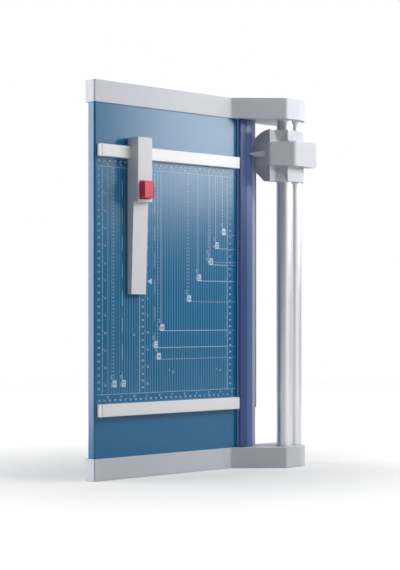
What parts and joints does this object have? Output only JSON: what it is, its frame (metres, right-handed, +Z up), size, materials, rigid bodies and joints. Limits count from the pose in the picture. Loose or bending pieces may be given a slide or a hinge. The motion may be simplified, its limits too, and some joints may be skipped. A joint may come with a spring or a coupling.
{
  "type": "rolling paper trimmer",
  "caption": "Rolling paper trimmer with a flat printed table, a cutting head on two round rails, a clear clamp strip and a sliding backstop.",
  "frame": {"origin": "on the desk under the middle of the trimmer's box, head parked as pictured", "axes": "+X from the table towards the guide rails, +Y away from the operator along the cutting edge, +Z up"},
  "size_m": [0.411, 0.582, 0.0865],
  "materials": {
    "cap_plastic": "fine grained light grey moulding",
    "table_paint": "blue powder paint with printed scales",
    "aluminium": "satin drawn",
    "bar_white": "white satin",
    "blade_steel": "ground",
    "fastener_steel": "zinc plated",
    "strip_clear": "clear, tinted violet blue",
    "head_plastic": "fine grained light grey moulding",
    "guard_plastic": "fine grained grey moulding",
    "liner_plastic": "slide liner",
    "red_plastic": "glossy red",
    "rubber": "soft, matt"
  },
  "bodies": {
    "base": {"table_plate": "table_paint", "knife_carrier": "aluminium", "bed_knife": "blade_steel", "knife_screws": "fastener_steel", "near_cap": "cap_plastic", "far_cap": "cap_plastic", "cap_screws": "fastener_steel", "left_rail": "aluminium", "right_rail": "aluminium", "rail_plugs": "fastener_steel", "rail_washers": "fastener_steel", "rail_screws": "fastener_steel", "feet": "rubber", "near_bar": "bar_white", "far_bar": "bar_white", "bar_screws": "fastener_steel"},
    "clamp": {"clamp_strip": "strip_clear", "strip_pins": "fastener_steel", "near_spring": "fastener_steel", "far_spring": "fastener_steel"},
    "head": {"carriage": "head_plastic", "blade_guard": "guard_plastic", "saddle": "head_plastic", "finger": "guard_plastic", "slide_bushes": "liner_plastic", "guard_screws": "fastener_steel", "saddle_pins": "fastener_steel", "blade_axle": "fastener_steel"},
    "blade": {"round_blade": "blade_steel", "blade_hub": "aluminium"},
    "backstop": {"backstop": "head_plastic", "grip_jaw": "fastener_steel", "jaw_screws": "fastener_steel", "lever_pin": "fastener_steel", "lock_spring": "fastener_steel"},
    "lock": {"lock_lever": "fastener_steel", "lock_button": "red_plastic", "brake_pad": "rubber"}
  },
  "joints": [
    {"name": "head_slide", "type": "slide", "parent": "base", "child": "head", "axis": [0, 1, 0], "range_m": [-0.418, 0.015]},
    {"name": "blade_spin", "type": "hinge", "parent": "head", "child": "blade", "pos_m": [0.13, 0.2047, 0.0413], "axis": [1, 0, 0], "continuous": true},
    {"name": "clamp_press", "type": "slide", "parent": "base", "child": "clamp", "axis": [0, 0, -1], "range_m": [0, 0.0007], "stiffness_N_per_m": 3000, "springref_m": -0.002, "deforming": ["near_spring", "far_spring"]},
    {"name": "backstop_slide", "type": "slide", "parent": "base", "child": "backstop", "axis": [1, 0, 0], "range_m": [-0.054, 0.192]},
    {"name": "lock_press", "type": "hinge", "parent": "backstop", "child": "lock", "pos_m": [-0.12625, 0.165, 0.036], "axis": [1, 0, 0], "range_deg": [0, 4], "stiffness_Nm_per_rad": 1.2, "springref_deg": -5.73, "deforming": ["lock_spring"]}
  ],
  "couplings": [
    {"joint": "blade_spin", "follows": "head_slide", "rad_per_m": -45.455}
  ]
}
